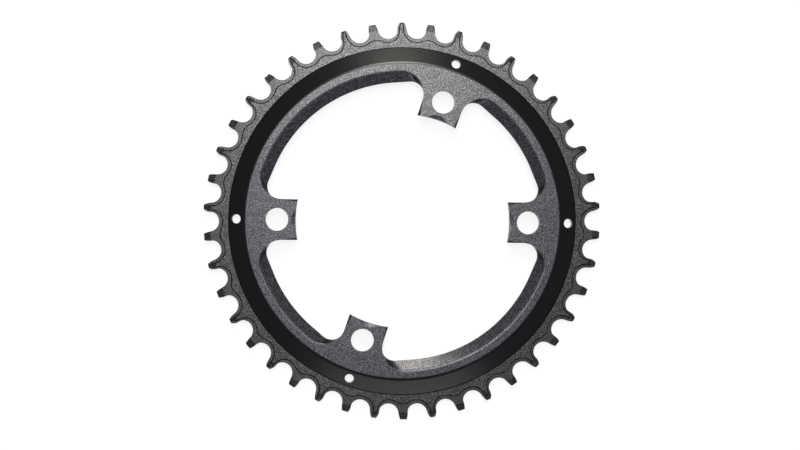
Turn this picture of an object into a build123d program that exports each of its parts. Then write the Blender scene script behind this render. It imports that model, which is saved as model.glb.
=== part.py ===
import os
from math import atan2, cos, degrees, pi, radians, sin, sqrt, tan

from build123d import *

# Chain and tooth pitch
tooth_pairs = 21            # each pair is one wide and one narrow tooth
chain_pitch = 12.7
seat_r = 4.45               # roller seat between two teeth
first_wide_angle = 3.4      # degrees from +X to the middle of a wide tooth

# Tooth outline, the same in both kinds up to the knees
drive_lean = 11.0           # degrees by which the driving flank leans back
trail_half = 2.22           # tooth axis to the upright trailing flank
trail_root_r = 3.0          # turn from the trailing flank into the seat
wide_tip_rise = 2.53        # pitch circle to the tip of a wide tooth
wide_drive_knee = 0.23      # pitch circle to where the driving flank starts to round off
wide_drive_round = 5.5
wide_trail_knee = -0.27
wide_trail_round = 4.0
narrow_tip_rise = 2.43
narrow_drive_knee = 0.83
narrow_drive_round = 5.5
narrow_trail_knee = -0.07
narrow_trail_round = 7.0

# Thicknesses of the toothed rim, set evenly about its middle
rim_thick = 3.7             # rim and wide teeth
plate_thick = 2.0           # narrow teeth and the lane beside the roller seats
tip_bevel_rise = 3.1        # radial length of the bevel at a narrow tip
tip_bevel_drop = 0.55
rib_round_rise = 3.8        # radial length of the rounding at a wide tip
rib_round_middle = 2.2      # where the rounding's first flat ends, and how low it is there
rib_round_sag = 0.4
rib_round_drop = 1.2

# Step between the rim and the lane that the chain plates run in
lane_depth = 1.45           # roller seat bottom to the step
step_lean = 0.38            # how far the step leans back over its height
arch_rise = 1.5             # step under a narrow tooth, above the step at a seat
narrow_lane_r = 8.0
drive_lane_r = 5.65
trail_lane_r = 4.65
rib_trail_knee = -0.3       # pitch circle to where the rib follows the rounded flank
rib_tip_gap = 0.1           # tip of a wide tooth to the end of its rib
lane_flats = 3              # the step's roundings are cut as a few short flats
arch_flats = 3
knee_flats = 2

# Dished web, from the rim inward
rim_width = 4.02            # roller seat bottom to the foot of the cone
foot_step = 0.3             # rim face above the foot of the cone
cone_run = 7.2
dish_rise = 3.9             # rim face to the raised flange face
shoulder_r = 2.7            # rounding between the cone and the flange face
flange_thick = 3.4
back_foot_shift = 1.3       # front foot of the cone to its back foot
back_cone_run = 6.6

# Flange, bays and bolt tabs
flange_width = 4.05         # sharp corner of the cone to the start of the bay bevel
bay_bevel_run = 4.3
bay_bevel_drop = 2.5
bay_land_angle = 22.65      # degrees from a tab to where the bay edge straightens
bay_corner_r = 5.65         # corner of a bay at its narrow edge
bevel_corner_r = 9.5        # corner of a bay at the top of its bevel
tab_half_width = 8.88
bolt_circle_r = 55.0
tab_reach = 8.1             # bolt circle to the inner ends of the tabs
tab_half_angle = 36.0       # degrees from +X to the two tabs of one side
bolt_hole_r = 5.0
bolt_seat_r = 6.1           # flat left round each bolt hole
corner_facet_length = 6.1   # facets along the inner corners of a tab
corner_facet_width = 0.82
corner_facet_drop = 1.6
scoop_r = 20.0              # hollow in the inner end of a tab
scoop_reach = 5.6           # its half width on the tab face
scoop_offset = 2.5          # its middle, inward of the tab's end
pin_hole_r = 2.0
pin_circle_r = 72.8

tooth_count = 2 * tooth_pairs
pitch_angle = 360 / tooth_count
half_pitch = pitch_angle / 2
pitch_r = chain_pitch / (2 * sin(pi / tooth_count))
root_r = pitch_r - seat_r
wide_tip_r = pitch_r + wide_tip_rise
narrow_tip_r = pitch_r + narrow_tip_rise

rim_middle = rim_thick / 2
plate_bottom = rim_middle - plate_thick / 2
plate_top = rim_middle + plate_thick / 2
flange_top = rim_thick + dish_rise
flange_bottom = flange_top - flange_thick

foot_r = root_r - rim_width
shoulder_corner_r = foot_r - cone_run
bevel_top_r = shoulder_corner_r - flange_width
bay_r = bevel_top_r - bay_bevel_run
core_r = foot_r + rim_width / 4     # cylinder on which the toothed rim joins the web
spare = 1.0                         # how far a cut runs past the surface it opens

locating_r = bolt_circle_r - tab_reach      # tab ends, where the crank centres the ring
tab_angles = [-tab_half_angle, tab_half_angle, 180 - tab_half_angle, 180 + tab_half_angle]


def polar(radius, angle):
    return Vector(radius, 0).rotate(Axis.Z, angle)


def arc_about(centre, start, end):
    """The shorter arc from start to end round centre."""
    middle = (start + end) / 2 - centre
    radius = (start - centre).length
    return ThreePointArc(start, centre + middle.normalized() * radius, end)


def flats_about(centre, start, end, count):
    """Points from start to end round centre: a fine rounding as a few short flats."""
    begin = start - centre
    turn = degrees(atan2(begin.cross(end - centre).Z, begin.dot(end - centre)))
    return [centre + begin.rotate(Axis.Z, turn * step / count) for step in range(count + 1)]


def on_circle(centre, round_r, circle_r, side):
    """Where a rounding of round_r about centre meets a circle about the origin."""
    distance = centre.length
    along = (circle_r**2 - round_r**2 + distance**2) / (2 * distance)
    across = sqrt(circle_r**2 - along**2)
    outward = centre.normalized()
    sideways = Vector(-outward.Y, outward.X) * side
    return outward * along + sideways * across


def tooth_edges(angle, tip_r, drive_knee, drive_round, trail_knee, trail_round):
    """One tooth from seat bottom to seat bottom, counter-clockwise, about the X axis."""
    drive_seat = polar(pitch_r, -half_pitch)
    trail_seat = polar(pitch_r, half_pitch)
    lean = radians(drive_lean)

    seat_end = drive_seat + Vector(-seat_r * sin(lean), seat_r * cos(lean))
    flank_length = (pitch_r + drive_knee - seat_end.X) / cos(lean)
    drive_top = seat_end + Vector(cos(lean), sin(lean)) * flank_length
    drive_centre = drive_top + Vector(-sin(lean), cos(lean)) * drive_round
    drive_tip = on_circle(drive_centre, drive_round, tip_r, -1)

    trail_top = Vector(pitch_r + trail_knee, trail_half)
    trail_centre = trail_top - Vector(0, trail_round)
    trail_tip = on_circle(trail_centre, trail_round, tip_r, 1)

    root_across = trail_seat.Y - trail_half - trail_root_r
    root_along = sqrt((seat_r - trail_root_r)**2 - root_across**2)
    root_centre = Vector(trail_seat.X - root_along, trail_half + trail_root_r)
    root_top = root_centre - Vector(0, trail_root_r)
    root_end = trail_seat + (root_centre - trail_seat).normalized() * seat_r

    edges = [
        arc_about(drive_seat, polar(root_r, -half_pitch), seat_end),
        Line(seat_end, drive_top),
        arc_about(drive_centre, drive_top, drive_tip),
        Line(drive_tip, trail_tip),
        arc_about(trail_centre, trail_tip, trail_top),
        Line(trail_top, root_top),
        arc_about(root_centre, root_top, root_end),
        arc_about(trail_seat, root_end, polar(root_r, half_pitch)),
    ]
    return [edge.rotate(Axis.Z, angle) for edge in edges]


def tooth_outline():
    edges = []
    for pair in range(tooth_pairs):
        angle = first_wide_angle + pair * 2 * pitch_angle
        edges += tooth_edges(angle, wide_tip_r, wide_drive_knee, wide_drive_round,
                             wide_trail_knee, wide_trail_round)
        edges += tooth_edges(angle + pitch_angle, narrow_tip_r, narrow_drive_knee,
                             narrow_drive_round, narrow_trail_knee, narrow_trail_round)
    return Wire(edges)


def step_points(angle, shrink):
    """The rim's step round one wide tooth, from seat bottom to past the next arch."""
    step_r = root_r - lane_depth
    drive_centre = polar(step_r + drive_lane_r, -half_pitch)
    drive_bottom = polar(step_r - shrink, -half_pitch)
    drive_top = drive_centre + Vector(0, drive_lane_r + shrink)
    rib_end_r = wide_tip_r - rib_tip_gap
    drive_end = Vector(sqrt(rib_end_r**2 - drive_top.Y**2), drive_top.Y)

    trail_centre = polar(step_r + trail_lane_r, half_pitch)
    rib_half = trail_centre.Y - trail_lane_r
    trail_top = Vector(trail_centre.X, rib_half - shrink)
    trail_knee = Vector(pitch_r + rib_trail_knee, rib_half - shrink)
    rib_round = wide_trail_round - (trail_half - rib_half)
    rib_centre = Vector(trail_knee.X, rib_half - rib_round)
    trail_end = on_circle(rib_centre, rib_round - shrink, rib_end_r, 1)
    trail_bottom = polar(step_r - shrink, half_pitch)

    # Under the narrow tooth the step rises in an arch, tangent to a lane on either side
    lane_centre = polar(step_r + narrow_lane_r, -half_pitch)
    arch_top_r = step_r + arch_rise
    rise = lane_centre.X - arch_top_r
    arch_r = (rise**2 + lane_centre.Y**2 - narrow_lane_r**2) / (2 * (narrow_lane_r - rise))
    arch_centre = Vector(arch_top_r - arch_r, 0)
    turn = arch_centre + (lane_centre - arch_centre).normalized() * (arch_r - shrink)
    mirrored = Vector(turn.X, -turn.Y)
    arch = [point.rotate(Axis.Z, pitch_angle) for point in [
        turn,
        *flats_about(arch_centre, turn, mirrored, arch_flats)[1:],
    ]]

    points = [
        *flats_about(drive_centre, drive_bottom, drive_top, lane_flats),
        drive_end,
        *flats_about(rib_centre, trail_end, trail_knee, knee_flats),
        *flats_about(trail_centre, trail_top, trail_bottom, lane_flats),
        *arch,
    ]
    return [point.rotate(Axis.Z, angle) for point in points]


def step_outline(shrink, height):
    points = []
    for pair in range(tooth_pairs):
        points += step_points(first_wide_angle + pair * 2 * pitch_angle, shrink)
    return Pos(0, 0, height) * Wire(Polyline(*points, close=True).edges())


def tooth_flats(radius, height):
    """A polygon with one side facing each tooth, at this distance from the axis."""
    turn = first_wide_angle + half_pitch
    corner_r = radius / cos(radians(half_pitch))
    corners = [polar(corner_r, turn + tooth * pitch_angle) for tooth in range(tooth_count)]
    return Pos(0, 0, height) * Wire(Polyline(*corners, close=True).edges())


def narrow_bevels():
    """Cutters for the bevels on both faces of a narrow tooth lying on +X."""
    start_r = narrow_tip_r - tip_bevel_rise
    end_r = narrow_tip_r + spare
    end_drop = tip_bevel_drop * (end_r - start_r) / tip_bevel_rise
    profile = Plane.XZ * make_face(Polyline(
        (start_r, plate_top),
        (end_r, plate_top - end_drop),
        (end_r, plate_top + spare),
        (start_r, plate_top + spare),
        close=True,
    ))
    front = extrude(profile, chain_pitch / 2, both=True)
    return [front, front.mirror(Plane.XY.offset(rim_middle))]


def make_plate():
    """Narrow teeth and lane: the thin plate, bevelled at the narrow tips."""
    plate = extrude(Pos(0, 0, plate_bottom) * make_face(tooth_outline()), plate_thick)
    cutters = []
    for pair in range(tooth_pairs):
        turn = Rot(0, 0, first_wide_angle + (2 * pair + 1) * pitch_angle)
        cutters += [turn * bevel for bevel in narrow_bevels()]
    return plate - cutters


def make_rim():
    """Rim and wide teeth: full thickness, leaning step, rounded tips."""
    rim = Solid.make_loft([
        step_outline(step_lean, 0),
        step_outline(0, plate_bottom),
        step_outline(0, plate_top),
        step_outline(step_lean, rim_thick),
    ], ruled=True)
    start_r = wide_tip_r - rib_round_rise
    middle_r = start_r + rib_round_middle
    end_r = wide_tip_r + spare
    end_drop = rib_round_drop + (spare * (rib_round_drop - rib_round_sag)
                                 / (rib_round_rise - rib_round_middle))
    envelope = Solid.make_loft([
        tooth_flats(start_r, 0),
        tooth_flats(middle_r, rib_round_sag),
        tooth_flats(end_r, end_drop),
        tooth_flats(end_r, rim_thick - end_drop),
        tooth_flats(middle_r, rim_thick - rib_round_sag),
        tooth_flats(start_r, rim_thick),
    ], ruled=True)
    return rim & envelope


def make_web():
    """Flange, cone and the inner part of the rim, turned in one."""
    back_foot_r = foot_r - back_foot_shift
    slope = atan2(flange_top - rim_thick + foot_step, cone_run)
    tangent = shoulder_r * tan(slope / 2)
    shoulder = Vector(shoulder_corner_r - tangent, 0, flange_top)
    cone_top = Vector(shoulder_corner_r + tangent * cos(slope), 0,
                      flange_top - tangent * sin(slope))
    points = [
        shoulder,
        (locating_r, 0, flange_top),
        (locating_r, 0, flange_bottom),
        (back_foot_r - back_cone_run, 0, flange_bottom),
        (back_foot_r, 0, 0),
        (core_r + rim_width / 8, 0, 0),
        (core_r + rim_width / 8, 0, rim_thick),
        (foot_r, 0, rim_thick),
        (foot_r, 0, rim_thick - foot_step),
        cone_top,
    ]
    rounding = arc_about(shoulder - Vector(0, 0, shoulder_r), cone_top, shoulder)
    outline = Wire(Polyline(*points).edges() + [rounding])
    return revolve(make_face(outline), Axis.Z)


def bay_outline(start, end, edge_r, corner_r, height):
    """One bay between two tabs, closed by a chord inside the locating circle."""
    normal = polar(1, bay_land_angle)
    corner_v = tab_half_width + corner_r
    corner = Vector((edge_r - corner_r - normal.Y * corner_v) / normal.X, corner_v)
    half = [
        Vector(locating_r - 2 * spare, tab_half_width),
        Vector(corner.X, tab_half_width),
        corner + normal * corner_r,
        polar(edge_r, bay_land_angle),
    ]
    first = [point.rotate(Axis.Z, start) for point in half]
    last = [Vector(point.X, -point.Y).rotate(Axis.Z, end) for point in half]
    first_corner = corner.rotate(Axis.Z, start)
    last_corner = Vector(corner.X, -corner.Y).rotate(Axis.Z, end)
    edges = [
        Line(first[0], first[1]),
        arc_about(first_corner, first[1], first[2]),
        Line(first[2], first[3]),
        arc_about(Vector(0, 0), first[3], last[3]),
        Line(last[3], last[2]),
        arc_about(last_corner, last[2], last[1]),
        Line(last[1], last[0]),
        Line(last[0], first[0]),
    ]
    return Pos(0, 0, height) * Wire(edges)


def bay_cutter(start, end):
    """The opening of a bay: an upright land under a wide bevel."""
    narrow = (bay_r, bay_corner_r)
    wide = (bevel_top_r, bevel_corner_r)
    sections = [
        bay_outline(start, end, *narrow, flange_bottom - spare),
        bay_outline(start, end, *narrow, flange_top - bay_bevel_drop),
        bay_outline(start, end, *wide, flange_top),
        bay_outline(start, end, *wide, flange_top + spare),
    ]
    return Solid.make_loft(sections, ruled=True)


def corner_facet(side):
    """Cutter for the facet along one inner corner of a tab lying on +X."""
    grow = (corner_facet_length + spare) / corner_facet_length
    base_u = locating_r - spare
    apex = Vertex(locating_r + corner_facet_length, side * tab_half_width, flange_top)
    base = Polyline(
        (base_u, side * (tab_half_width - corner_facet_width * grow), flange_top),
        (base_u, side * tab_half_width, flange_top - corner_facet_drop * grow),
        (base_u, side * (tab_half_width + spare), flange_top + spare),
        close=True,
    )
    return Solid.make_loft([Wire(base.edges()), apex], ruled=True)


def end_scoop():
    """Cutter for the hollow at a tab's inner end, clear of the bolt seat."""
    height = flange_top + sqrt(scoop_r**2 - scoop_reach**2)
    ball = Pos(locating_r - scoop_offset, 0, height) * Sphere(scoop_r)
    seat = Pos(bolt_circle_r, 0, flange_top) * Cylinder(bolt_seat_r, 2 * scoop_r)
    return ball - seat


def make_chainring():
    middle = (flange_bottom + flange_top) / 2
    deep = flange_top + 2 * spare
    toothed = make_rim() + make_plate() - Cylinder(core_r, 2 * deep)
    ring = make_web() + toothed
    facets = [corner_facet(1), corner_facet(-1), end_scoop()]
    holes = [
        Pos(bolt_circle_r, 0, middle) * Cylinder(bolt_hole_r, 2 * deep),
        Pos(pin_circle_r, 0, middle) * Cylinder(pin_hole_r, 2 * deep),
    ]
    ends = tab_angles[1:] + [tab_angles[0] + 360]
    for start, end in zip(tab_angles, ends):
        ring -= bay_cutter(start, end)
    for angle in tab_angles:
        for cutter in facets + holes:
            ring -= Rot(0, 0, angle) * cutter
    return ring


chainring = make_chainring()
os.makedirs("parts", exist_ok=True)
export_step(chainring, "parts/chainring.step")
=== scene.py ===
from math import asin, atan2, cos, degrees, pi, radians, sin, sqrt, tan

import bmesh
import bpy
from mathutils import Matrix, Vector


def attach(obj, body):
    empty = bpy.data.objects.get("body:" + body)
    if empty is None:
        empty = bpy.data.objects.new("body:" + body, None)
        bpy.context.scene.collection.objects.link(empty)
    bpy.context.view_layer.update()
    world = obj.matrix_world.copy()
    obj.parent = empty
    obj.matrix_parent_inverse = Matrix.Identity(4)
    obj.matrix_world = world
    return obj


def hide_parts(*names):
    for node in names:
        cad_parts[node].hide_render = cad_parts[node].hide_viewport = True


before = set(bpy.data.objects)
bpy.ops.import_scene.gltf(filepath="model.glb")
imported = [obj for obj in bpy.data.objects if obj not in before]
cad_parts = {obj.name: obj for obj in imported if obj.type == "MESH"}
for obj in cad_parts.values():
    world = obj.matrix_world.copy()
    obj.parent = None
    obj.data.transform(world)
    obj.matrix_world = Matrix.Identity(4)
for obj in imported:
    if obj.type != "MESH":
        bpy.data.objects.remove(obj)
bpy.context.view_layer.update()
bpy.context.scene.view_settings.view_transform = "Standard"
mm = 0.001

# Teeth: outline, thicknesses and the step that the chain plates run beside, in mm
teeth = {
    "pairs": 21,
    "chainPitch": 12.7,
    "firstWide": 3.4,           # degrees from +X to the middle of a wide tooth
    "seatRadius": 4.45,
    "driveLean": 11.0,
    "trailHalf": 2.22,
    "trailRoot": 3.0,
    "rimThick": 3.7,
    "plateThick": 2.0,
    "laneDepth": 1.45,
    "stepLean": 0.5,
    "archRise": 1.5,
    "narrowLane": 8.0,
    "driveLane": 5.65,
    "trailLane": 4.65,
    "ribKnee": -0.3,
    "ribGap": 0.1,
    "coreAbove": 1.005,         # foot of the cone to where the toothed rim starts
    "rimWidth": 4.02,
    "coreSteps": 6,             # divisions of the inner edge for each tooth
    "driveSeatSteps": 14,
    "trailSeatSteps": 9,
    "roundSteps": 6,            # divisions of a tip's side, a root and a wide tooth's fall
    "laneSteps": 14,
    "turnSteps": 5,             # from a narrow tooth's lane into its arch
    "archSteps": 10,
    "weld": 0.002,
    "pairWeld": 0.004,
    "rimWithin": 0.01,          # how far inside the root circle an outer edge may lie
}
wideTooth = {"tip": 2.53, "driveKnee": 0.23, "driveRound": 5.5, "trailKnee": -0.27,
             "trailRound": 4.0, "fallStart": 3.8, "fallCurve": 0.083}
narrowTooth = {"tip": 2.43, "driveKnee": 0.83, "driveRound": 5.5, "trailKnee": -0.07,
               "trailRound": 7.0, "bevelStart": 3.1, "bevelSlope": 0.177}

toothAngle = 180 / teeth["pairs"]
halfAngle = toothAngle / 2
pitchRadius = teeth["chainPitch"] / (2 * sin(radians(halfAngle)))
rootRadius = pitchRadius - teeth["seatRadius"]
stepRadius = rootRadius - teeth["laneDepth"]
footRadius = rootRadius - teeth["rimWidth"]
coreRadius = footRadius + teeth["coreAbove"]
midHeight = teeth["rimThick"] / 2
plateTop = midHeight + teeth["plateThick"] / 2


def polar(radius, angle):
    return Vector((radius * cos(radians(angle)), radius * sin(radians(angle))))


# Points round centre, from start to end the shorter way
def spread(centre, start, end, steps):
    first, last = start - centre, end - centre
    turn = atan2(first.x * last.y - first.y * last.x, first.dot(last))
    return [centre + Matrix.Rotation(turn * step / steps, 2) @ first
            for step in range(steps + 1)]


def whereRoundsMeet(centre, roundRadius, circleRadius, side):
    far = centre.length
    along = (circleRadius ** 2 - roundRadius ** 2 + far ** 2) / (2 * far)
    across = sqrt(circleRadius ** 2 - along ** 2)
    out = centre.normalized()
    return out * along + Vector((-out.y, out.x)) * side * across


def toothLine(tooth):
    seat = teeth["seatRadius"]
    driveSeat, trailSeat = polar(pitchRadius, -halfAngle), polar(pitchRadius, halfAngle)
    tipRadius = pitchRadius + tooth["tip"]
    lean = radians(teeth["driveLean"])
    seatEnd = driveSeat + Vector((-sin(lean), cos(lean))) * seat
    flank = (pitchRadius + tooth["driveKnee"] - seatEnd.x) / cos(lean)
    driveTop = seatEnd + Vector((cos(lean), sin(lean))) * flank
    driveCentre = driveTop + Vector((-sin(lean), cos(lean))) * tooth["driveRound"]
    driveTip = whereRoundsMeet(driveCentre, tooth["driveRound"], tipRadius, -1)
    trailTop = Vector((pitchRadius + tooth["trailKnee"], teeth["trailHalf"]))
    trailCentre = trailTop - Vector((0, tooth["trailRound"]))
    trailTip = whereRoundsMeet(trailCentre, tooth["trailRound"], tipRadius, 1)
    root, steps = teeth["trailRoot"], teeth["roundSteps"]
    rootAcross = trailSeat.y - teeth["trailHalf"] - root
    rootAlong = sqrt((seat - root) ** 2 - rootAcross ** 2)
    rootCentre = Vector((trailSeat.x - rootAlong, teeth["trailHalf"] + root))
    rootTop = rootCentre - Vector((0, root))
    rootEnd = trailSeat + (rootCentre - trailSeat).normalized() * seat
    return (spread(driveSeat, polar(rootRadius, -halfAngle), seatEnd, teeth["driveSeatSteps"])
            + spread(driveCentre, driveTop, driveTip, steps)
            + spread(trailCentre, trailTip, trailTop, steps)
            + spread(rootCentre, rootTop, rootEnd, steps)
            + spread(trailSeat, rootEnd, polar(rootRadius, halfAngle), teeth["trailSeatSteps"])[1:])


def wideStep(shrink):
    drive = polar(stepRadius + teeth["driveLane"], -halfAngle)
    trail = polar(stepRadius + teeth["trailLane"], halfAngle)
    driveTop = drive + Vector((0, teeth["driveLane"] + shrink))
    ribEnd = pitchRadius + wideTooth["tip"] - teeth["ribGap"]
    driveEnd = Vector((sqrt(ribEnd ** 2 - driveTop.y ** 2), driveTop.y))
    ribHalf = trail.y - teeth["trailLane"]
    trailTop = Vector((trail.x, ribHalf - shrink))
    knee = Vector((pitchRadius + teeth["ribKnee"], ribHalf - shrink))
    ribRound = wideTooth["trailRound"] - (teeth["trailHalf"] - ribHalf)
    ribCentre = Vector((knee.x, ribHalf - ribRound))
    trailEnd = whereRoundsMeet(ribCentre, ribRound - shrink, ribEnd, 1)
    low = stepRadius - shrink
    return (spread(drive, polar(low, -halfAngle), driveTop, teeth["laneSteps"]) + [driveEnd]
            + spread(ribCentre, trailEnd, knee, teeth["roundSteps"])
            + spread(trail, trailTop, polar(low, halfAngle), teeth["laneSteps"]))


def narrowStep(shrink):
    lane = polar(stepRadius + teeth["narrowLane"], -halfAngle)
    archTop = stepRadius + teeth["archRise"]
    rise = lane.x - archTop
    archRadius = ((rise ** 2 + lane.y ** 2 - teeth["narrowLane"] ** 2)
                  / (2 * (teeth["narrowLane"] - rise)))
    arch = Vector((archTop - archRadius, 0))
    turn = arch + (lane - arch).normalized() * (archRadius - shrink)
    low = stepRadius - shrink
    half = spread(lane, polar(low, -halfAngle), turn, teeth["turnSteps"])
    other = [Vector((point.x, -point.y)) for point in reversed(half)]
    return half + spread(arch, turn, other[0], teeth["archSteps"])[1:-1] + other


# Top of the full-thickness form at x along the tooth's own axis
def ribHeight(tooth, x):
    if tooth is narrowTooth:
        return teeth["rimThick"]
    past = max(0, x - (pitchRadius + tooth["tip"] - tooth["fallStart"]))
    return teeth["rimThick"] - tooth["fallCurve"] * past ** 2


def plateHeight(tooth, x):
    if tooth is narrowTooth:
        past = max(0, x - (pitchRadius + tooth["tip"] - tooth["bevelStart"]))
        return plateTop - tooth["bevelSlope"] * past
    return min(plateTop, ribHeight(tooth, x))


# One tooth's upper half, from seat bottom to seat bottom.
# Its z is 0 at the step's foot and 1 at its top until the heights are known.
def makeTooth(shape, tooth, stepLine, angle):
    local = bmesh.new()

    def corners(points, z):
        return [local.verts.new((point.x, point.y, z)) for point in points]

    outer = corners(toothLine(tooth), 0)
    foot = corners(stepLine(0), 0)
    top = corners(stepLine(teeth["stepLean"]), 1)
    steps = teeth["coreSteps"]
    core = corners([polar(coreRadius, -halfAngle + toothAngle * step / steps)
                    for step in range(steps + 1)], 1)
    local.faces.new(outer + foot[::-1])
    local.faces.new(top + core[::-1])
    for near in range(len(foot) - 1):
        local.faces.new((foot[near], foot[near + 1], top[near + 1], top[near]))

    tipRadius = pitchRadius + tooth["tip"]
    if tooth is narrowTooth:
        cuts = [tipRadius - tooth["bevelStart"]]
    else:
        flush = sqrt((teeth["rimThick"] - plateTop) / tooth["fallCurve"])
        steps = teeth["roundSteps"]
        cuts = [tipRadius - tooth["fallStart"] + flush * step / steps for step in range(steps + 1)]
    for cut in cuts:
        bmesh.ops.bisect_plane(local, geom=local.verts[:] + local.edges[:] + local.faces[:],
                               plane_co=(cut, 0, 0), plane_no=(1, 0, 0))
    for vert in local.verts:
        x, share = vert.co.x, vert.co.z
        vert.co.z = plateHeight(tooth, x) * (1 - share) + ribHeight(tooth, x) * share
    bmesh.ops.rotate(local, verts=local.verts, matrix=Matrix.Rotation(radians(angle), 3, "Z"))
    part = bpy.data.meshes.new("toothHalf")
    local.to_mesh(part)
    local.free()
    shape.from_mesh(part)
    bpy.data.meshes.remove(part)


# A wide and a narrow tooth, both faces and the wall between them, open where the next pair joins
def makeToothPair():
    shape = bmesh.new()
    makeTooth(shape, wideTooth, wideStep, teeth["firstWide"])
    makeTooth(shape, narrowTooth, narrowStep, teeth["firstWide"] + toothAngle)
    bmesh.ops.remove_doubles(shape, verts=shape.verts, dist=teeth["weld"])
    rim = [edge for edge in shape.edges if len(edge.link_faces) == 1
           and min(vert.co.xy.length for vert in edge.verts) > rootRadius - teeth["rimWithin"]]
    upper = shape.faces[:]
    wall = bmesh.ops.extrude_edge_only(shape, edges=rim)
    for item in wall["geom"]:
        if isinstance(item, bmesh.types.BMVert):
            item.co.z = 2 * midHeight - item.co.z
    copy = bmesh.ops.duplicate(shape, geom=upper)
    lower = [item for item in copy["geom"] if isinstance(item, bmesh.types.BMFace)]
    for vert in {vert for face in lower for vert in face.verts}:
        vert.co.z = 2 * midHeight - vert.co.z
    bmesh.ops.reverse_faces(shape, faces=lower)
    bmesh.ops.remove_doubles(shape, verts=shape.verts, dist=teeth["weld"])
    bmesh.ops.scale(shape, verts=shape.verts, vec=(mm, mm, mm))
    mesh = bpy.data.meshes.new("toothPair")
    shape.to_mesh(mesh)
    shape.free()
    return mesh


def link(name, mesh):
    thing = bpy.data.objects.new(name, mesh)
    bpy.context.scene.collection.objects.link(thing)
    return thing


# Geometry Nodes turn the pair of teeth round the axis
def repeatPairs(pair, material):
    tree = bpy.data.node_groups.new("toothRing", "GeometryNodeTree")
    face = tree.interface
    face.new_socket("Geometry", in_out="INPUT", socket_type="NodeSocketGeometry")
    pairsSocket = face.new_socket("Pairs", in_out="INPUT", socket_type="NodeSocketInt")
    turnSocket = face.new_socket("Turn", in_out="INPUT", socket_type="NodeSocketFloat")
    materialSocket = face.new_socket("Finish", in_out="INPUT", socket_type="NodeSocketMaterial")
    face.new_socket("Geometry", in_out="OUTPUT", socket_type="NodeSocketGeometry")
    nodes, links = tree.nodes, tree.links
    given = nodes.new("NodeGroupInput")
    result = nodes.new("NodeGroupOutput")
    points = nodes.new("GeometryNodePoints")
    index = nodes.new("GeometryNodeInputIndex")
    angle = nodes.new("ShaderNodeMath")
    angle.operation = "MULTIPLY"
    turn = nodes.new("ShaderNodeCombineXYZ")
    place = nodes.new("GeometryNodeInstanceOnPoints")
    real = nodes.new("GeometryNodeRealizeInstances")
    weld = nodes.new("GeometryNodeMergeByDistance")
    weld.inputs["Distance"].default_value = teeth["pairWeld"] * mm
    paint = nodes.new("GeometryNodeSetMaterial")
    links.new(given.outputs["Pairs"], points.inputs["Count"])
    links.new(index.outputs["Index"], angle.inputs[0])
    links.new(given.outputs["Turn"], angle.inputs[1])
    links.new(angle.outputs["Value"], turn.inputs["Z"])
    links.new(points.outputs["Points"], place.inputs["Points"])
    links.new(given.outputs["Geometry"], place.inputs["Instance"])
    links.new(turn.outputs["Vector"], place.inputs["Rotation"])
    links.new(place.outputs["Instances"], real.inputs["Geometry"])
    links.new(real.outputs["Geometry"], weld.inputs["Geometry"])
    links.new(weld.outputs["Geometry"], paint.inputs["Geometry"])
    links.new(given.outputs["Finish"], paint.inputs["Material"])
    links.new(paint.outputs["Geometry"], result.inputs["Geometry"])
    modifier = pair.modifiers.new("toothRing", "NODES")
    modifier.node_group = tree
    modifier[pairsSocket.identifier] = teeth["pairs"]
    modifier[turnSocket.identifier] = 2 * pi / teeth["pairs"]
    modifier[materialSocket.identifier] = material


# The evaluated object as a plain mesh, with the modified object removed
def settle(thing):
    bpy.context.view_layer.update()
    evaluated = thing.evaluated_get(bpy.context.evaluated_depsgraph_get())
    mesh = bpy.data.meshes.new_from_object(evaluated)
    bpy.data.objects.remove(thing)
    return mesh


# Turned web: cone, shoulder and flange, with the bays, tabs and holes cut into it, in mm
web = {
    "footStep": 0.3,
    "coneRun": 7.2,
    "dishRise": 3.9,
    "shoulder": 2.7,
    "flangeThick": 3.4,
    "backShift": 1.3,
    "backRun": 6.6,
    "backRound": 1.0,
    "flangeWidth": 4.05,
    "edgeRound": 3.6,           # between the flange face and a bay's bevel
    "runOut": 0.006,            # how far above the face that rounding ends
    "bevelRun": 4.3,
    "bevelDrop": 2.5,
    "landAngle": 22.65,
    "bayCorner": 5.65,
    "bevelCorner": 9.5,
    "tabHalf": 8.88,
    "tabReach": 8.1,
    "boltCircle": 55.0,
    "tabAngle": 36.0,
    "boltHole": 5.0,
    "boltSeat": 6.1,
    "facetLength": 7.2,
    "facetWidth": 1.0,
    "facetDrop": 1.6,
    "scoop": 28.0,
    "scoopReach": 5.8,
    "scoopOffset": 4.0,
    "scoopSpare": 1.5,          # how far its cutter reaches past its edge
    "pinHole": 2.0,
    "pinCircle": 72.8,
    "spare": 1.0,               # how far a cutter reaches past what it cuts
    "shoulderSteps": 8,
    "backSteps": 4,
    "roundingSteps": 5,
    "cornerSteps": 12,
    "bowSteps": 40,
    "holeSteps": 64,
    "seatSteps": 72,
    "scoopRings": 12,
    "shave": 0.001,             # how far the corner flats stand off a tab's side
}
flangeTop = teeth["rimThick"] + web["dishRise"]
flangeBottom = flangeTop - web["flangeThick"]
shoulderCorner = footRadius - web["coneRun"]
bevelTop = shoulderCorner - web["flangeWidth"]
bayRadius = bevelTop - web["bevelRun"]
tabEnd = web["boltCircle"] - web["tabReach"]
tabAngles = [-web["tabAngle"], web["tabAngle"], 180 - web["tabAngle"], 180 + web["tabAngle"]]


# Points of a round corner in a profile
def cornerRound(before, corner, after, radius, steps):
    back, ahead = (before - corner).normalized(), (after - corner).normalized()
    halfTurn = back.angle(ahead) / 2
    reach = radius / tan(halfTurn)
    centre = corner + (back + ahead).normalized() * radius / sin(halfTurn)
    return spread(centre, corner + back * reach, corner + ahead * reach, steps)


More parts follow.
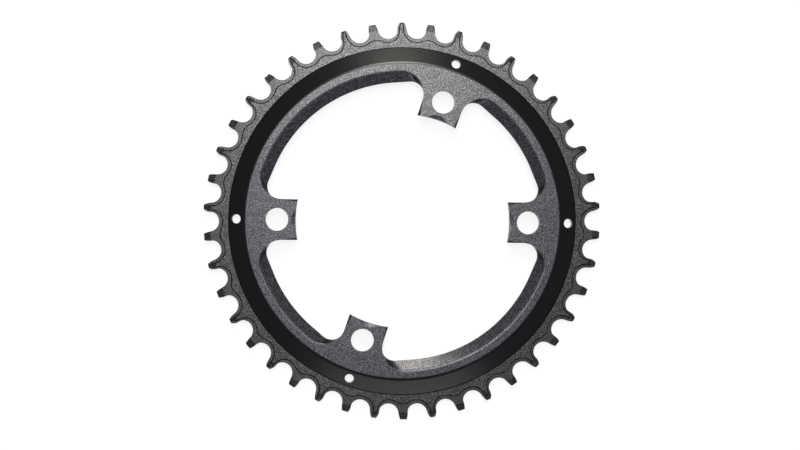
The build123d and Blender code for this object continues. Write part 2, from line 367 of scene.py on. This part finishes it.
def makeWeb():
    backFoot = footRadius - web["backShift"]
    coneFoot = Vector((footRadius, teeth["rimThick"] - web["footStep"]))
    shoulder = Vector((shoulderCorner, flangeTop))
    flangeEnd = Vector((tabEnd, flangeTop))
    backTop = Vector((backFoot - web["backRun"], flangeBottom))
    backEdge = Vector((backFoot, 0))
    backEnd = Vector((tabEnd, flangeBottom))
    core = Vector((coreRadius, 0))
    backRound, backSteps = web["backRound"], web["backSteps"]
    profile = (cornerRound(coneFoot, shoulder, flangeEnd, web["shoulder"], web["shoulderSteps"])
               + [flangeEnd, backEnd]
               + cornerRound(backEnd, backTop, backEdge, backRound, backSteps)
               + cornerRound(backTop, backEdge, core, backRound, backSteps)
               + [core, Vector((coreRadius, teeth["rimThick"])),
                  Vector((footRadius, teeth["rimThick"])), coneFoot])
    turns = 2 * teeth["pairs"] * teeth["coreSteps"]
    shape = bmesh.new()
    rings = []
    for turn in range(turns):
        angle = teeth["firstWide"] - halfAngle + 360 * turn / turns
        rings.append([shape.verts.new((*polar(point.x, angle) * mm, point.y * mm))
                      for point in profile])
    for turn, ring in enumerate(rings):
        after = rings[(turn + 1) % turns]
        for spot in range(len(profile)):
            nextSpot = (spot + 1) % len(profile)
            shape.faces.new((ring[spot], ring[nextSpot], after[nextSpot], after[spot]))
    bmesh.ops.recalc_face_normals(shape, faces=shape.faces)
    mesh = bpy.data.meshes.new("web")
    shape.to_mesh(mesh)
    shape.free()
    return link("web", mesh)


# One bay's outline between two tabs, closed by a chord inside the tabs' ends
def bayLine(start, end, edge, corner):
    normal = polar(1, web["landAngle"])
    cornerV = web["tabHalf"] + corner
    centre = Vector(((edge - corner - normal.y * cornerV) / normal.x, cornerV))
    half = [Vector((tabEnd - 2 * web["spare"], web["tabHalf"]))]
    half += spread(centre, Vector((centre.x, web["tabHalf"])), centre + normal * corner,
                   web["cornerSteps"])
    first = [Matrix.Rotation(radians(start), 2) @ point for point in half]
    last = [Matrix.Rotation(radians(end), 2) @ Vector((point.x, -point.y)) for point in half]
    bow = spread(Vector((0, 0)), polar(edge, start + web["landAngle"]),
                 polar(edge, end - web["landAngle"]), web["bowSteps"])
    return first + bow + last[::-1]


# A closed cutter through outlines of equal length, each with its height
def stackCutter(name, sections):
    shape = bmesh.new()
    loops = [[shape.verts.new((point.x * mm, point.y * mm, height * mm)) for point in points]
             for points, height in sections]
    for low, high in zip(loops, loops[1:]):
        for spot in range(len(low)):
            after = (spot + 1) % len(low)
            shape.faces.new((low[spot], low[after], high[after], high[spot]))
    shape.faces.new(loops[0][::-1])
    shape.faces.new(loops[-1])
    bmesh.ops.recalc_face_normals(shape, faces=shape.faces)
    mesh = bpy.data.meshes.new(name)
    shape.to_mesh(mesh)
    shape.free()
    return link(name, mesh)


# Upright land, wide bevel, and a rounding up to the flange face
def makeBayCutter(start, end):
    def section(edge, height):
        corner = web["bayCorner"] + ((edge - bayRadius) / web["bevelRun"]
                                     * (web["bevelCorner"] - web["bayCorner"]))
        return bayLine(start, end, edge, corner), height

    runOut = flangeTop + web["runOut"]
    landTop = Vector((bayRadius, flangeTop - web["bevelDrop"]))
    bevelEdge = Vector((bevelTop, runOut))
    face = Vector((shoulderCorner, runOut))
    rounding = cornerRound(landTop, bevelEdge, face, web["edgeRound"], web["roundingSteps"])
    sections = [section(bayRadius, flangeBottom - web["spare"]), section(*landTop)]
    sections += [section(*point) for point in rounding]
    sections.append(section(rounding[-1].x, flangeTop + web["spare"]))
    return stackCutter("bayCutter", sections)


def ringAt(centre, radius, steps):
    return [centre + polar(radius, 360 * step / steps) for step in range(steps)]


def makeDrill(radius, angle, circle):
    around = ringAt(polar(circle, angle), radius, web["holeSteps"])
    reach = 2 * web["spare"]
    return stackCutter("drill", [(around, -reach), (around, flangeTop + reach)])


# The flat along one inner corner of a tab
def makeFacetCutter(angle, side):
    grow = (web["facetLength"] + web["spare"]) / web["facetLength"]
    base = tabEnd - web["spare"]
    half = web["tabHalf"] + web["shave"]
    spots = [
        (tabEnd + web["facetLength"], side * half, flangeTop),
        (base, side * (half - web["facetWidth"] * grow), flangeTop),
        (base, side * half, flangeTop - web["facetDrop"] * grow),
        (base, side * (half + web["spare"]), flangeTop + web["spare"]),
    ]
    shape = bmesh.new()
    verts = [shape.verts.new(Vector(spot) * mm) for spot in spots]
    for trio in ((0, 1, 2), (0, 2, 3), (0, 3, 1), (1, 3, 2)):
        shape.faces.new([verts[spot] for spot in trio])
    bmesh.ops.recalc_face_normals(shape, faces=shape.faces)
    bmesh.ops.rotate(shape, verts=shape.verts, matrix=Matrix.Rotation(radians(angle), 3, "Z"))
    mesh = bpy.data.meshes.new("facetCutter")
    shape.to_mesh(mesh)
    shape.free()
    return link("facetCutter", mesh)


# The shallow hollow at a tab's inner end, clear of the flat round the bolt hole
def makeScoopCutter(angle):
    lift = sqrt(web["scoop"] ** 2 - web["scoopReach"] ** 2)
    opening = degrees(asin((web["scoopReach"] + web["scoopSpare"]) / web["scoop"]))
    centre, seatCentre = polar(tabEnd - web["scoopOffset"], angle), polar(web["boltCircle"], angle)
    bowl, seat = [], []
    for step in range(1, web["scoopRings"] + 1):
        lean = radians(opening * step / web["scoopRings"])
        around = ringAt(centre, web["scoop"] * sin(lean), web["seatSteps"])
        bowl.append((around, flangeTop + lift - web["scoop"] * cos(lean)))
    for height in (web["spare"], -web["spare"]):
        around = ringAt(seatCentre, web["boltSeat"] - height, web["seatSteps"])
        seat.append((around, flangeTop + height))
    scoop = stackCutter("scoopCutter", bowl)
    cut(scoop, [stackCutter("seatCutter", seat)])
    return scoop


# The tools' shapes are taken out of the thing, and the tools removed
def cut(thing, tools):
    for tool in tools:
        modifier = thing.modifiers.new("cut", "BOOLEAN")
        modifier.operation = "DIFFERENCE"
        modifier.solver = "EXACT"
        modifier.object = tool
    bpy.context.view_layer.update()
    evaluated = thing.evaluated_get(bpy.context.evaluated_depsgraph_get())
    mesh = bpy.data.meshes.new_from_object(evaluated)
    thing.modifiers.clear()
    thing.data = mesh
    for tool in tools:
        bpy.data.objects.remove(tool)


def cutWeb(body):
    ends = tabAngles[1:] + [tabAngles[0] + 360]
    tools = [makeBayCutter(start, end) for start, end in zip(tabAngles, ends)]
    for angle in tabAngles:
        tools.append(makeScoopCutter(angle))
        tools += [makeFacetCutter(angle, side) for side in (1, -1)]
        tools.append(makeDrill(web["boltHole"], angle, web["boltCircle"]))
        tools.append(makeDrill(web["pinHole"], angle, web["pinCircle"]))
    cut(body, tools)


finish = {
    "weld": 0.006 * mm,
    "wallWithin": 0.02,         # mm inside the core radius where the web's outer wall may start
    "wallSlope": 0.5,           # height of a wall's normal, at most
    "flatSlope": 0.99999,       # height of a flat face's normal, at least
    "flatEdge": 0.001,          # radians between flat faces whose edge may go
    "flatAngle": 0.2,           # degrees that faces joined in this way may differ
    "smoothBelow": 9.5,         # degrees between faces that shade as one curve
    "breakAbove": 22,           # degrees between faces whose edge is broken
    "bevelWidth": 0.09 * mm,
    "bevelSegments": 2,
}


# Teeth and web as one skin: the web's outer wall goes and the rest is welded
def weldRing(teethMesh, webMesh, material):
    shape = bmesh.new()
    shape.from_mesh(webMesh)
    wallRadius = (coreRadius - finish["wallWithin"]) * mm
    wall = [face for face in shape.faces
            if abs(face.normal.z) < finish["wallSlope"]
            and min(vert.co.xy.length for vert in face.verts) > wallRadius]
    bmesh.ops.delete(shape, geom=wall, context="FACES")
    shape.from_mesh(teethMesh)
    bmesh.ops.remove_doubles(shape, verts=shape.verts, dist=finish["weld"])
    flat = [edge for edge in shape.edges if len(edge.link_faces) == 2
            and all(abs(face.normal.z) > finish["flatSlope"] for face in edge.link_faces)
            and edge.calc_face_angle(1) < finish["flatEdge"]]
    bmesh.ops.dissolve_limit(shape, angle_limit=radians(finish["flatAngle"]), verts=[], edges=flat)
    bmesh.ops.recalc_face_normals(shape, faces=shape.faces)
    for face in shape.faces:
        face.smooth = True
        face.material_index = 0
    for edge in shape.edges:
        if len(edge.link_faces) == 2:
            edge.smooth = edge.calc_face_angle(0) < radians(finish["smoothBelow"])
    mesh = bpy.data.meshes.new("ring")
    shape.to_mesh(mesh)
    shape.free()
    mesh.materials.append(material)
    ring = link("ring", mesh)
    bevel = ring.modifiers.new("brokenEdges", "BEVEL")
    bevel.width = finish["bevelWidth"]
    bevel.segments = finish["bevelSegments"]
    bevel.limit_method = "ANGLE"
    bevel.angle_limit = radians(finish["breakAbove"])
    shading = ring.modifiers.new("flatFaces", "WEIGHTED_NORMAL")
    shading.keep_sharp = True
    return ring


anodising = {
    "cone": (0.002, 0.002, 0.002, 1),       # smooth turned band
    "wall": (0.004, 0.004, 0.004, 1),       # painted shade: near black with a low specular level on the steep faces, so step walls and creases show dark
    "pinWall": (0.5, 0.5, 0.49, 1),         # bare metal in the four small holes
    "pinEdge": (74.9 * mm, 75.2 * mm),
    "paintedShadeEdge": (0.62, 0.82),               # height of the unit normal over which the painted shade of steep faces fades in
    "paintedShadeShine": 0.1,
    "rimDark": (0.005, 0.005, 0.005, 1),    # blasted grain of the teeth and rim, whose bright specks are partly painted glints
    "rimBright": (0.072, 0.072, 0.072, 1),
    "flangeDark": (0.012, 0.012, 0.016, 1),     # greyer grain of the flange and bays, whose bright specks are partly painted glints
    "flangeBright": (0.1, 0.099, 0.118, 1),
    "flangeEdge": (68.2 * mm, 68.9 * mm),   # radius over which one turns into the next
    "rimEdge": (76.3 * mm, 76.7 * mm),
    "smoothness": (0.27, 0.28),     # roughness of the cone and of the blasted faces
    "ior": 1.5,
    "shine": 0.5,                   # specular level of the cone
    "grainShine": (0.36, 1.0),      # specular level of the grain's dark and bright specks
    "grainScale": 2800,
    "grainSpread": (0.47, 0.68),
    "grainHeight": 0.015 * mm,
    "grainDetail": 1,
    "grainStrength": 1.0,
}


def newMaterial(name):
    material = bpy.data.materials.new(name)
    material.use_nodes = True
    material.node_tree.nodes.clear()
    return material, material.node_tree.nodes, material.node_tree.links


def makeAnodising():
    material, nodes, links = newMaterial("blackAnodising")

    def mixColours(share, low, high):
        mix = nodes.new("ShaderNodeMix")
        mix.data_type = "RGBA"
        links.new(share, mix.inputs["Factor"])
        for socket, value in ((mix.inputs[6], low), (mix.inputs[7], high)):
            if isinstance(value, tuple):
                socket.default_value = value
            else:
                links.new(value, socket)
        return mix.outputs[2]

    def ramp(value, start, end, low, high):
        scale = nodes.new("ShaderNodeMapRange")
        scale.interpolation_type = "SMOOTHSTEP"
        links.new(value, scale.inputs["Value"])
        scale.inputs["From Min"].default_value = start
        scale.inputs["From Max"].default_value = end
        scale.inputs["To Min"].default_value = low
        scale.inputs["To Max"].default_value = high
        return scale.outputs["Result"]

    def mixValues(share, low, high):
        mix = nodes.new("ShaderNodeMix")
        mix.data_type = "FLOAT"
        links.new(share, mix.inputs["Factor"])
        for socket, value in ((mix.inputs[2], low), (mix.inputs[3], high)):
            if isinstance(value, float):
                socket.default_value = value
            else:
                links.new(value, socket)
        return mix.outputs[0]

    output = nodes.new("ShaderNodeOutputMaterial")
    shader = nodes.new("ShaderNodeBsdfPrincipled")
    shader.inputs["IOR"].default_value = anodising["ior"]
    place = nodes.new("ShaderNodeTexCoord")
    grain = nodes.new("ShaderNodeTexNoise")
    grain.inputs["Scale"].default_value = anodising["grainScale"]
    grain.inputs["Detail"].default_value = anodising["grainDetail"]
    links.new(place.outputs["Object"], grain.inputs["Vector"])
    flatten = nodes.new("ShaderNodeVectorMath")
    flatten.operation = "MULTIPLY"
    flatten.inputs[1].default_value = (1, 1, 0)
    links.new(place.outputs["Object"], flatten.inputs[0])
    radius = nodes.new("ShaderNodeVectorMath")
    radius.operation = "LENGTH"
    links.new(flatten.outputs["Vector"], radius.inputs[0])

    inFlange = ramp(radius.outputs["Value"], *anodising["flangeEdge"], 1, 0)
    inRim = ramp(radius.outputs["Value"], *anodising["rimEdge"], 0, 1)
    # The grain's bright specks in the colour are partly the blasted grain and partly painted glints
    # of its sparkle
    grainAndGlint = ramp(grain.outputs["Fac"], *anodising["grainSpread"], 0, 1)
    flange = mixColours(grainAndGlint, anodising["flangeDark"], anodising["flangeBright"])
    rim = mixColours(grainAndGlint, anodising["rimDark"], anodising["rimBright"])
    colour = mixColours(inFlange, mixColours(inRim, anodising["cone"], rim), flange)
    # Painted shade: faces steeper than the set normal height turn near black with little shine, so
    # step walls and creases show dark; the small holes' walls show bare metal instead
    apart = nodes.new("ShaderNodeSeparateXYZ")
    links.new(place.outputs["Normal"], apart.inputs["Vector"])
    level = nodes.new("ShaderNodeMath")
    level.operation = "ABSOLUTE"
    links.new(apart.outputs["Z"], level.inputs[0])
    openFace = ramp(level.outputs["Value"], *anodising["paintedShadeEdge"], 0, 1)
    beyondPins = nodes.new("ShaderNodeMath")
    beyondPins.operation = "MAXIMUM"
    links.new(inFlange, beyondPins.inputs[0])
    links.new(ramp(radius.outputs["Value"], *anodising["pinEdge"], 0, 1), beyondPins.inputs[1])
    wall = mixColours(beyondPins.outputs["Value"], anodising["pinWall"], anodising["wall"])
    links.new(mixColours(openFace, wall, colour), shader.inputs["Base Color"])

    blasted = nodes.new("ShaderNodeMath")
    blasted.operation = "ADD"
    links.new(inFlange, blasted.inputs[0])
    links.new(inRim, blasted.inputs[1])
    roughness = ramp(blasted.outputs["Value"], 0, 1, *anodising["smoothness"])
    links.new(roughness, shader.inputs["Roughness"])
    grainShine = ramp(grainAndGlint, 0, 1, *anodising["grainShine"])
    shine = mixValues(blasted.outputs["Value"], anodising["shine"], grainShine)
    shine = mixValues(openFace, anodising["paintedShadeShine"], shine)
    links.new(shine, shader.inputs["Specular IOR Level"])
    strength = nodes.new("ShaderNodeMath")
    strength.operation = "MULTIPLY"
    strength.inputs[1].default_value = anodising["grainStrength"]
    links.new(blasted.outputs["Value"], strength.inputs[0])
    bump = nodes.new("ShaderNodeBump")
    bump.inputs["Distance"].default_value = anodising["grainHeight"]
    links.new(strength.outputs["Value"], bump.inputs["Strength"])
    links.new(grain.outputs["Fac"], bump.inputs["Height"])
    links.new(bump.outputs["Normal"], shader.inputs["Normal"])
    links.new(shader.outputs["BSDF"], output.inputs["Surface"])
    return material


paper = {
    "colour": (0.9, 0.9, 0.9, 1),
    "seenGlow": 0.82,           # how white it looks by itself to the camera and in reflections
    "seenShade": 0.25,          # how much of the lamps' light and the ring's shadow is added
    "below": 0.02 * mm,
    "size": 4,
}


def makePaper():
    material, nodes, links = newMaterial("whitePaper")
    output = nodes.new("ShaderNodeOutputMaterial")
    plain = nodes.new("ShaderNodeBsdfDiffuse")
    plain.inputs["Color"].default_value = paper["colour"]
    shaded = nodes.new("ShaderNodeBsdfDiffuse")
    shaded.inputs["Color"].default_value = (*[paper["seenShade"]] * 3, 1)
    glow = nodes.new("ShaderNodeEmission")
    glow.inputs["Strength"].default_value = paper["seenGlow"]
    seen = nodes.new("ShaderNodeAddShader")
    links.new(shaded.outputs["BSDF"], seen.inputs[0])
    links.new(glow.outputs["Emission"], seen.inputs[1])
    rays = nodes.new("ShaderNodeLightPath")
    direct = nodes.new("ShaderNodeMath")
    direct.operation = "MAXIMUM"
    links.new(rays.outputs["Is Camera Ray"], direct.inputs[0])
    links.new(rays.outputs["Is Glossy Ray"], direct.inputs[1])
    anyway = nodes.new("ShaderNodeMath")
    anyway.operation = "MAXIMUM"
    links.new(direct.outputs["Value"], anyway.inputs[0])
    links.new(rays.outputs["Is Transmission Ray"], anyway.inputs[1])
    choose = nodes.new("ShaderNodeMixShader")
    links.new(anyway.outputs["Value"], choose.inputs["Fac"])
    links.new(plain.outputs["BSDF"], choose.inputs[1])
    links.new(seen.outputs["Shader"], choose.inputs[2])
    links.new(choose.outputs["Shader"], output.inputs["Surface"])
    bpy.ops.mesh.primitive_plane_add(size=paper["size"], location=(0, 0, -paper["below"]))
    floor = bpy.context.object
    floor.name = "paper"
    floor.data.materials.append(material)


# The photograph looks down on the ring: where its frame lies in the ring's own frame
view = {
    "rightAngle": -35.21,       # degrees from +X to the picture's right
    "tilt": 1.9,                # degrees, the right side farther away
    "distance": 600 * mm,       # camera to the middle of the teeth
    "lens": 61.2,
    "sensor": 36.0,
    "aimRight": -1.1 * mm,      # picture centre from the ring's axis
    "aimUp": -1.7 * mm,
}
rightway = Vector((*polar(1, view["rightAngle"]), 0))
upway = Vector((-rightway.y, rightway.x, 0))
skyway = Vector((0, 0, 1))

studio = {"roomLight": (0.17, 0.175, 0.21, 1), "lampsFrom": 1.2}

# Soft lamps, each leaning from straight overhead towards the picture's top by lean degrees
lamps = {
    "overhead": {"lean": 0, "size": (0.35, 0.35), "power": 1.4, "colour": (0.97, 0.97, 1.0)},
    "front": {"lean": 15, "size": (0.35, 0.35), "power": 4.8, "colour": (1.0, 0.99, 0.97)},
    "key": {"lean": 42, "size": (0.35, 0.35), "power": 4.2, "colour": (1.0, 0.99, 0.98)},
    "top": {"lean": 55, "size": (0.35, 0.35), "power": 4.3, "colour": (1.0, 0.95, 0.86)},
    "low": {"lean": -80, "size": (1.2, 0.35), "power": 4.4, "colour": (0.98, 1.0, 0.95)},
}


def makeLamps():
    for name, facts in lamps.items():
        data = bpy.data.lights.new(name, "AREA")
        data.shape = "RECTANGLE"
        data.size, data.size_y = facts["size"]
        data.energy = facts["power"]
        data.color = facts["colour"]
        lamp = bpy.data.objects.new(name, data)
        lean = radians(facts["lean"])
        way = upway * sin(lean) + skyway * cos(lean)
        lamp.location = way * studio["lampsFrom"]
        lamp.rotation_euler = way.to_track_quat("Z", "Y").to_euler()
        bpy.context.scene.collection.objects.link(lamp)


def makeWorld():
    world = bpy.data.worlds.new("studio")
    bpy.context.scene.world = world
    world.use_nodes = True
    nodes, links = world.node_tree.nodes, world.node_tree.links
    nodes.clear()
    output = nodes.new("ShaderNodeOutputWorld")
    room = nodes.new("ShaderNodeBackground")
    room.inputs["Color"].default_value = studio["roomLight"]
    white = nodes.new("ShaderNodeBackground")
    rays = nodes.new("ShaderNodeLightPath")
    choose = nodes.new("ShaderNodeMixShader")
    white.inputs["Color"].default_value = (1, 1, 1, 1)
    links.new(rays.outputs["Is Camera Ray"], choose.inputs["Fac"])
    links.new(room.outputs["Background"], choose.inputs[1])
    links.new(white.outputs["Background"], choose.inputs[2])
    links.new(choose.outputs["Shader"], output.inputs["Surface"])


def makeCamera():
    data = bpy.data.cameras.new("camera")
    data.lens = view["lens"]
    data.sensor_width = view["sensor"]
    camera = bpy.data.objects.new("camera", data)
    tilt = radians(view["tilt"])
    back = skyway * cos(tilt) - rightway * sin(tilt)
    side = rightway * cos(tilt) + skyway * sin(tilt)
    aim = rightway * view["aimRight"] + upway * view["aimUp"] + skyway * midHeight * mm
    turn = Matrix((side, upway, back)).transposed()
    camera.matrix_world = Matrix.Translation(aim + back * view["distance"]) @ turn.to_4x4()
    bpy.context.scene.collection.objects.link(camera)
    bpy.context.scene.camera = camera


blackAnodising = makeAnodising()

toothPair = link("toothPair", makeToothPair())
repeatPairs(toothPair, blackAnodising)
teethMesh = settle(toothPair)
print("teeth done:", len(teethMesh.polygons), "faces")

body = makeWeb()
cutWeb(body)
webMesh = body.data
bpy.data.objects.remove(body)
print("web done:", len(webMesh.polygons), "faces")

ring = weldRing(teethMesh, webMesh, blackAnodising)
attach(ring, "root")
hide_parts("chainring")
print("ring done:", len(ring.data.polygons), "faces")

makePaper()
makeLamps()
makeWorld()
makeCamera()
print("studio done")
